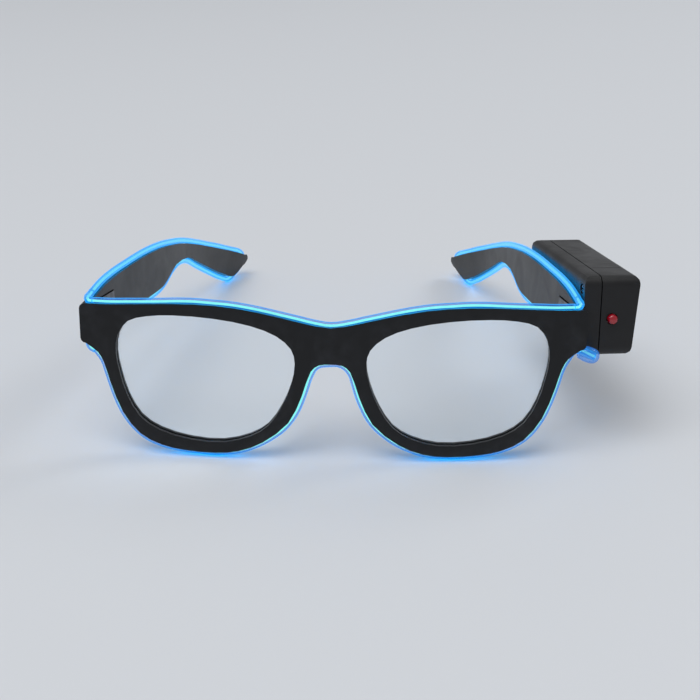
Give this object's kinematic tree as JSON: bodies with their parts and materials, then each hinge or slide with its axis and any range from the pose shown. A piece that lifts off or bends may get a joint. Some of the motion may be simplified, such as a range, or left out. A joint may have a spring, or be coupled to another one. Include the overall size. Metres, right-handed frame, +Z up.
{
  "type": "light up party glasses",
  "caption": "Black square-top glasses with clear lenses, a glowing wire in the edges of the front and temples, and a slim battery driver with a red button on one temple.",
  "frame": {"origin": "centre of the bounding box at its lowest height, on the surface that the open glasses stand on", "axes": "+Z up as the open glasses stand on the rims and the ear ends, +Y from the front to the ear ends, +X to the wearer's left, where the driver is"},
  "size_m": [0.1642, 0.1618, 0.0518],
  "materials": {
    "frame_plastic": "satin",
    "case_plastic": "fine grain",
    "lens": "clear polished",
    "glow_wire": "clear jacket over a glowing core",
    "clear_cap": "clear",
    "steel": "plated",
    "button_red": "glossy",
    "dark_plastic": "matte",
    "board": "lacquered",
    "coil_copper": "enamelled winding",
    "capacitor_cream": "moulded",
    "battery_can": "satin wrap",
    "lead_red": "satin",
    "grommet_rubber": "matte"
  },
  "bodies": {
    "front": {"front_frame": "frame_plastic", "lens_left": "lens", "lens_right": "lens", "front_hinge_left": "steel", "front_hinge_right": "steel", "hinge_screw_left": "steel", "hinge_screw_right": "steel", "wire_front_top": "glow_wire", "wire_front_bottom": "glow_wire", "wire_end_cap": "clear_cap", "wire_corner_top_left": "glow_wire", "wire_corner_top_right": "glow_wire", "wire_corner_low_right": "glow_wire"},
    "temple_arm_right": {"temple_right": "frame_plastic", "temple_hinge_right": "steel", "wire_temple_right": "glow_wire"},
    "temple_arm_left": {"temple_left": "frame_plastic", "temple_hinge_left": "steel", "wire_temple_left": "glow_wire", "driver_base": "case_plastic", "driver_shell": "case_plastic", "tact_switch": "dark_plastic", "circuit_board": "board", "inverter_coil": "coil_copper", "capacitor": "capacitor_cream", "transistor": "dark_plastic", "battery_upper": "battery_can", "battery_lower": "battery_can", "contact_front_upper": "steel", "contact_front_lower": "steel", "contact_plate_rear": "steel", "spring_front_lower": "steel", "spring_rear_upper": "steel", "lead_wire_negative": "dark_plastic", "lead_wire_positive": "lead_red", "case_screw_lower": "steel", "case_screw_upper": "steel", "mount_screw_front": "steel", "mount_screw_rear": "steel", "wire_grommet": "grommet_rubber"},
    "button": {"push_button": "button_red"},
    "cover": {"battery_cover": "case_plastic"}
  },
  "joints": [
    {"name": "fold_right", "type": "hinge", "parent": "front", "child": "temple_arm_right", "pos_m": [-0.07665, -0.0649, 0.0384], "axis": [-0.0436, -0.1381, -0.9895], "range_deg": [0, 81], "deforming": ["wire_corner_top_right", "wire_corner_low_right"]},
    {"name": "fold_left", "type": "hinge", "parent": "front", "child": "temple_arm_left", "pos_m": [0.06075, -0.0649, 0.0384], "axis": [-0.0436, 0.1381, 0.9895], "range_deg": [0, 69], "deforming": ["wire_corner_top_left"]},
    {"name": "press_button", "type": "slide", "parent": "temple_arm_left", "child": "button", "axis": [-0.1495, 0.9793, -0.1367], "range_m": [0, 0.0006], "stiffness_N_per_m": 2500, "springref_m": -0.0001},
    {"name": "slide_cover", "type": "slide", "parent": "temple_arm_left", "child": "cover", "axis": [-0.1495, 0.9793, -0.1367], "range_m": [0, 0.05]}
  ]
}
